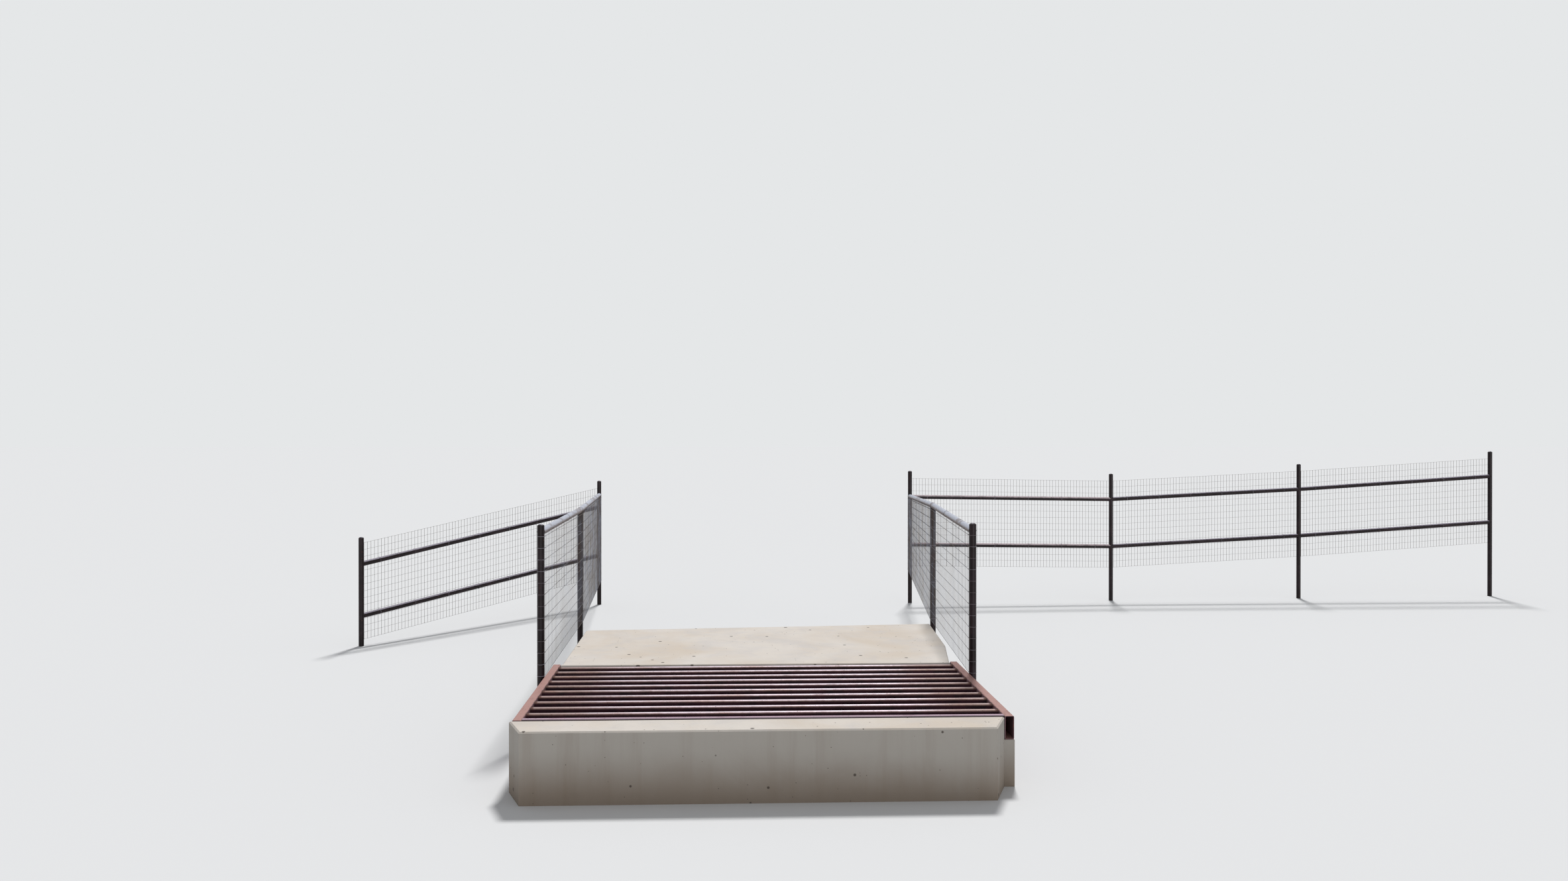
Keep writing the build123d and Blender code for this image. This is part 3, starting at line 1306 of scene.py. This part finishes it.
@dataclass(frozen=True)
class PipeJoints:
    """Welds and wire ties of the fence pipes, which are all of one size."""

    bead: float = 0.0034
    saddle_bead: float = 0.00272
    rail_bead: float = 0.0022
    cap_bead: float = 0.0018
    cap_rise: float = 0.018
    ripple: float = 0.12
    fine_ripple: float = 0.1
    wire: float = 0.0030
    ring_points: int = 36
    wrap_points: int = 22
    wrap_rise: float = 0.0026
    tie_points: int = 20
    tie_slack: float = 0.0036
    tie_drift: float = 0.004

    def rail_end(self, axis: Vector, direction: Vector) -> Piece:
        """Bead round a rail where it meets a post.

        Args:
            axis: Where the rail's axis meets the post's axis.
            direction: The rail's direction away from the post.

        Returns:
            The bead.
        """
        run = direction.normalized()
        across = run.cross(UP).normalized()
        over = across.cross(run)
        flat = run.xy.length_squared
        points = []
        for cos, sin in circle(self.ring_points):
            offset = (across * cos + over * sin) * PIPE_RADIUS
            lean = offset.xy.dot(run.xy)
            gap = flat * (offset.xy.length_squared - PIPE_RADIUS**2)
            reach = (math.sqrt(max(lean**2 - gap, 0.0)) - lean) / flat
            points.append(axis + offset + run * reach)
        return make_tube("rail_weld", points, self.bead, closed=True, ripple=self.ripple)

    def ring(self, centre: Vector, direction: Vector, radius: float, thickness: float) -> Piece:
        """Bead or wire round a pipe.

        Args:
            centre: Point on the pipe's axis.
            direction: The pipe's direction.
            radius: Radius of the ring's middle line.
            thickness: Radius of the bead or wire itself.

        Returns:
            The ring.
        """
        place = turned_to(centre, direction)
        turns = circle(self.ring_points)
        points = [place @ Vector((0, radius * cos, radius * sin)) for cos, sin in turns]
        return make_tube("pipe_ring", points, thickness, closed=True, ripple=self.fine_ripple)

    def splice(self, centre: Vector, direction: Vector) -> Piece:
        """Bead round a rail where two lengths meet."""
        return self.ring(centre, direction, PIPE_RADIUS, self.rail_bead)

    def cap(self, spot: Spot, top: float) -> Piece:
        """Bead round the edge of a post's domed cap."""
        centre = Vector((*spot, top - self.cap_rise + self.cap_bead / 2))
        return self.ring(centre, UP, PIPE_RADIUS - self.cap_bead, self.cap_bead)

    def saddle(self, spot: Spot, level: float, along: Vector) -> Piece:
        """Bead where a post's top meets the rail that lies on it.

        Args:
            spot: The post's axis in plan.
            level: Level of the rail's axis.
            along: The rail's direction in plan.

        Returns:
            The bead.
        """
        side = along.cross(UP)
        points = []
        for cos, sin in circle(self.ring_points):
            out = Vector((cos, sin, 0)) * PIPE_RADIUS
            drop = math.sqrt(max(PIPE_RADIUS**2 - out.dot(side) ** 2, 0.0))
            points.append(Vector((*spot, level)) + out - UP * drop)
        return make_tube(
            "saddle_weld", points, self.saddle_bead, closed=True, ripple=self.fine_ripple
        )

    def post_wrap(self, spot: Vector, along: Vector, outward: Vector) -> Piece:
        """End of a line wire: once round the post, then twisted back on itself.

        Args:
            spot: Point on the post's axis at the wire's level.
            along: The bay's direction away from the post.
            outward: Direction from the post to the wire.

        Returns:
            The wire.
        """
        reach = PIPE_RADIUS + self.wire / 2
        points = []
        for step in range(self.wrap_points + 1):
            part = step / self.wrap_points
            turn = FULL_TURN * part
            swing = outward * math.cos(turn) - along * math.sin(turn)
            points.append(spot + swing * reach + UP * (self.wrap_rise * (part - 0.5)))
        steps, turns, width, gap, length = 14, 2.5, 0.0021, 0.0003, 0.05
        for step in range(1, steps + 1):
            part = step / steps
            twist = FULL_TURN * turns * part
            coil = (outward * math.cos(twist) + UP * math.sin(twist)) * width
            points.append(spot + outward * (reach + gap) + along * (length * part) + coil)
        return make_tube("wrap", points, self.wire / 2, detail=0)

    def rail_tie(self) -> Piece:
        """Loop of wire round a rail and the mesh beside it, its ends twisted together.

        The rail lies along X and the mesh on its +Y side.

        Returns:
            The tie.
        """
        reach = PIPE_RADIUS + self.wire / 2 + self.tie_slack
        points = []
        for step in range(self.tie_points + 1):
            part = step / self.tie_points
            turn = FULL_TURN * (part + 0.25)
            away = reach * math.sin(turn) + self.tie_slack
            points.append(Vector((self.tie_drift * (part - 0.5), away, reach * math.cos(turn))))
        steps, turns, width, length = 8, 1.5, 0.0016, 0.018
        tail = points[-1] + Vector((0.001, -0.004, 0))
        for step in range(1, steps + 1):
            part = step / steps
            twist = FULL_TURN * turns * part
            coil = Vector((math.cos(twist), 0, math.sin(twist))) * width
            points.append(tail - UP * (length * part) + coil)
        return settle(make_tube("rail_tie", points, self.wire / 2, detail=0))


@dataclass(frozen=True)
class WingFence:
    """One wing: near post, mid post and corner post under one bent top rail, with wire mesh."""

    side: Side
    mid_flare: float
    corner_flare: float
    rail_mid: float
    rail_corner: float
    corner_ground: float
    near_x: float = 2.1715
    near_y: float = 1.660
    mid_y: float = 4.825
    corner_y: float = 10.010
    near_height: float = 1.520
    rail_near: float = 1.440
    corner_height: float = 1.780
    mesh_foot: float = 0.005
    mesh_drop: float = 0.044
    splice_y: float = 3.550
    rows: int = 12
    stay_wire: float = 0.0026
    line_wire: float = 0.0028
    stay_top: float = 1.03
    tie_gap: float = 0.0042
    tie_lift: float = 0.004

    @property
    def spots(self) -> tuple[Spot, Spot, Spot]:
        """Axes of the near, mid and corner posts in plan."""
        sign = self.side.value
        return (
            (sign * self.near_x, self.near_y),
            (sign * (self.near_x + self.mid_flare), self.mid_y),
            (sign * (self.near_x + self.corner_flare), self.corner_y),
        )

    @property
    def rail_points(self) -> tuple[Vector, ...]:
        """Points of the top rail's axis at the three posts."""
        heights = (self.rail_near, self.rail_mid, self.rail_corner)
        return tuple(
            Vector((*spot, SURFACE + height)) for spot, height in zip(self.spots, heights)
        )

    @property
    def bays(self) -> tuple[Bay, Bay]:
        """The wing's two bays."""
        near, mid, corner = self.spots
        levels = [point.z - self.mesh_drop for point in self.rail_points]
        foot = SURFACE + self.mesh_foot
        outside = -self.side.value
        return (
            Bay(near, mid, (foot, foot), (levels[0], levels[1]), outside),
            Bay(mid, corner, (foot, foot + self.corner_ground), (levels[1], levels[2]), outside),
        )

    def build(self, finishes: Finishes) -> None:
        """Dress the pipes, then add mesh, welds and ties.

        Args:
            finishes: The part's materials.
        """
        label = self.side.label
        dress(finishes.paint, *(f"{label}_{post}_post" for post in ("near", "mid", "corner")))
        dress(finishes.wing_rail, f"{label}_wing_rail")
        wires = (self.rows, self.stay_wire, self.line_wire, self.stay_top)
        for bay, part in zip(self.bays, ("near", "far")):
            mesh = WireMesh(f"{label}_wing_wire_{part}", bay, *wires)
            mesh.build(finishes.wire, f"{label}_wing_mesh_{part}")
        mount(settle(self._welds()), finishes.weld)
        mount(settle(self._wraps()), finishes.tie)

    def _welds(self) -> Piece:
        """Every weld bead of the wing.

        Returns:
            The beads, as one piece.
        """
        joints = PipeJoints()
        near, mid, corner = self.rail_points
        first = mid - near
        second = corner - mid
        splice = near + first * ((self.splice_y - near.y) / first.y)
        corner_top = SURFACE + self.corner_ground + self.corner_height
        parts = [
            joints.rail_end(near, first),
            joints.rail_end(corner, -second),
            joints.splice(splice, first),
            joints.splice(mid, first.normalized() + second.normalized()),
            joints.saddle(self.spots[1], mid.z, self.bays[0].along),
            joints.cap(self.spots[0], SURFACE + self.near_height),
            joints.cap(self.spots[2], corner_top),
        ]
        return join(f"{self.side.label}_wing_welds", parts)

    def _wraps(self) -> Piece:
        """Line wires wrapped round the near post, and ties at the other two.

        Returns:
            The wires, as one piece.
        """
        joints = PipeJoints()
        near, far = self.bays
        levels = [row / self.rows for row in range(self.rows + 1)]
        parts = [joints.post_wrap(near.point(0, row), near.along, near.outward) for row in levels]
        reach = PIPE_RADIUS + self.tie_gap
        for distance in (0.0, far.length):
            for level in levels[: self.rows : 2]:
                centre = far.point(distance, level) + UP * self.tie_lift
                parts.append(joints.ring(centre, UP, reach, joints.wire / 2))
        return join(f"{self.side.label}_wing_ties", parts)


@dataclass(frozen=True)
class LineFence:
    """Bays of line fence that run away from a corner post, with two rails and wire mesh."""

    side: Side
    spots: tuple[Spot, ...]
    top_rails: tuple[float, ...]
    low_rails: tuple[float, ...]
    mesh_feet: tuple[float, ...]
    mesh_tops: tuple[float, ...]
    post_tops: tuple[float, ...]
    outside: int
    rows: int = 14
    stay_wire: float = 0.0042
    line_wire: float = 0.0026
    tie_pitch: float = 0.61

    def build(self, finishes: Finishes) -> None:
        """Dress the pipes, then add mesh, welds and ties.

        Args:
            finishes: The part's materials.
        """
        label = self.side.label
        wires = (self.rows, self.stay_wire, self.line_wire)
        for index, bay in enumerate(self._bays()):
            tail = f"_{index + 1}" if len(self.spots) > 2 else ""
            # The first right bay's rails get the wider painted highlight.
            pale_highlit_bay = self.side is Side.RIGHT and index == 0
            rail = finishes.pale_rail if pale_highlit_bay else finishes.line_rail
            dress(finishes.paint, f"{label}_line_post{tail}")
            dress(rail, f"{label}_top_rail{tail}", f"{label}_low_rail{tail}")
            mesh = WireMesh(f"{label}_line_wire{tail}", bay, *wires)
            mesh.build(finishes.line_wire, f"{label}_line_mesh{tail}")
        mount(settle(self._welds()), finishes.weld)
        mount(self._ties(), finishes.tie)

    def _bays(self) -> list[Bay]:
        """The bays, from the corner post on.

        Returns:
            One bay for each pair of posts.
        """
        pairs = [slice(index, index + 2) for index in range(len(self.spots) - 1)]
        return [
            Bay(*self.spots[pair], self.mesh_feet[pair], self.mesh_tops[pair], self.outside)
            for pair in pairs
        ]

    def _rails(self) -> list[tuple[Vector, Vector, Bay]]:
        """Start and end of each rail's axis, with its bay."""
        return [
            (Vector((*bay.start, levels[index])), Vector((*bay.end, levels[index + 1])), bay)
            for index, bay in enumerate(self._bays())
            for levels in (self.top_rails, self.low_rails)
        ]

    def _welds(self) -> Piece:
        """Every weld bead of the line fence.

        Returns:
            The beads, as one piece.
        """
        joints = PipeJoints()
        parts = []
        for start, end, _ in self._rails():
            parts += [joints.rail_end(start, end - start), joints.rail_end(end, start - end)]
        parts += [joints.cap(spot, top) for spot, top in zip(self.spots[1:], self.post_tops)]
        return join(f"{self.side.label}_line_welds", parts)

    def _ties(self) -> Piece:
        """Wire ties that hold the mesh to the rails.

        Returns:
            The ties, as one piece.
        """
        places = []
        for start, end, bay in self._rails():
            run = end - start
            count = round(run.length / self.tie_pitch)
            axis = run.normalized()
            over = axis.cross(bay.outward).normalized()
            if over.z < 0:
                over = -over
                axis = -axis
            turn = Matrix((axis, bay.outward, over)).transposed().to_4x4()
            for index in range(count):
                spot = start + run * ((index + 0.5) / count)
                places.append(Matrix.Translation(spot) @ turn)
        return stamp(f"{self.side.label}_line_ties", PipeJoints().rail_tie(), places)


def right_line() -> LineFence:
    """Three bays of line fence to the right of the right corner post.

    Returns:
        The fence, whose posts stand on rising ground.
    """
    ground = (0.0, -0.060, 0.110, 0.340)
    heading = math.radians(2.2)
    spots = [(3.0215, 10.010)]
    for bay in (3.723, 3.574, 3.743):
        x, y = spots[-1]
        spots.append((x + bay * math.cos(heading), y + bay * math.sin(heading)))

    def above(height: float) -> tuple[float, ...]:
        """Levels at this height above the ground, post by post."""
        return tuple(SURFACE + level + height for level in ground)

    return LineFence(
        side=Side.RIGHT,
        spots=tuple(spots),
        top_rails=above(1.310),
        low_rails=above(0.450),
        mesh_feet=above(0.060),
        mesh_tops=above(1.640),
        post_tops=above(1.780)[1:],
        outside=-1,
    )


def left_line() -> LineFence:
    """One falling bay of line fence to the left of the left corner post.

    Returns:
        The fence.
    """
    corner = (-2.5515, 10.010)
    heading = math.radians(231)
    bay = 4.710
    end = (corner[0] + bay * math.cos(heading), corner[1] + bay * math.sin(heading))
    return LineFence(
        side=Side.LEFT,
        spots=(corner, end),
        top_rails=(1.740, 1.173),
        low_rails=(0.880, 0.431),
        mesh_feet=(0.490, 0.080),
        mesh_tops=(2.070, 1.460),
        post_tops=(1.560,),
        outside=1,
    )


def main() -> None:
    """Build the studio and every sub-assembly in order."""
    logging.basicConfig(level=logging.INFO, format="%(name)s: %(message)s")
    deselect_all()
    Studio().build()
    finishes = Finishes()
    Footings().build(finishes)
    SteelGrid().build(finishes)
    WingFence(
        side=Side.RIGHT,
        mid_flare=0.230,
        corner_flare=0.850,
        rail_mid=1.490,
        rail_corner=1.320,
        corner_ground=0.0,
    ).build(finishes)
    WingFence(
        side=Side.LEFT,
        mid_flare=0.030,
        corner_flare=0.380,
        rail_mid=1.440,
        rail_corner=1.350,
        corner_ground=-0.170,
    ).build(finishes)
    right_line().build(finishes)
    left_line().build(finishes)


if __name__ == "__main__":
    main()
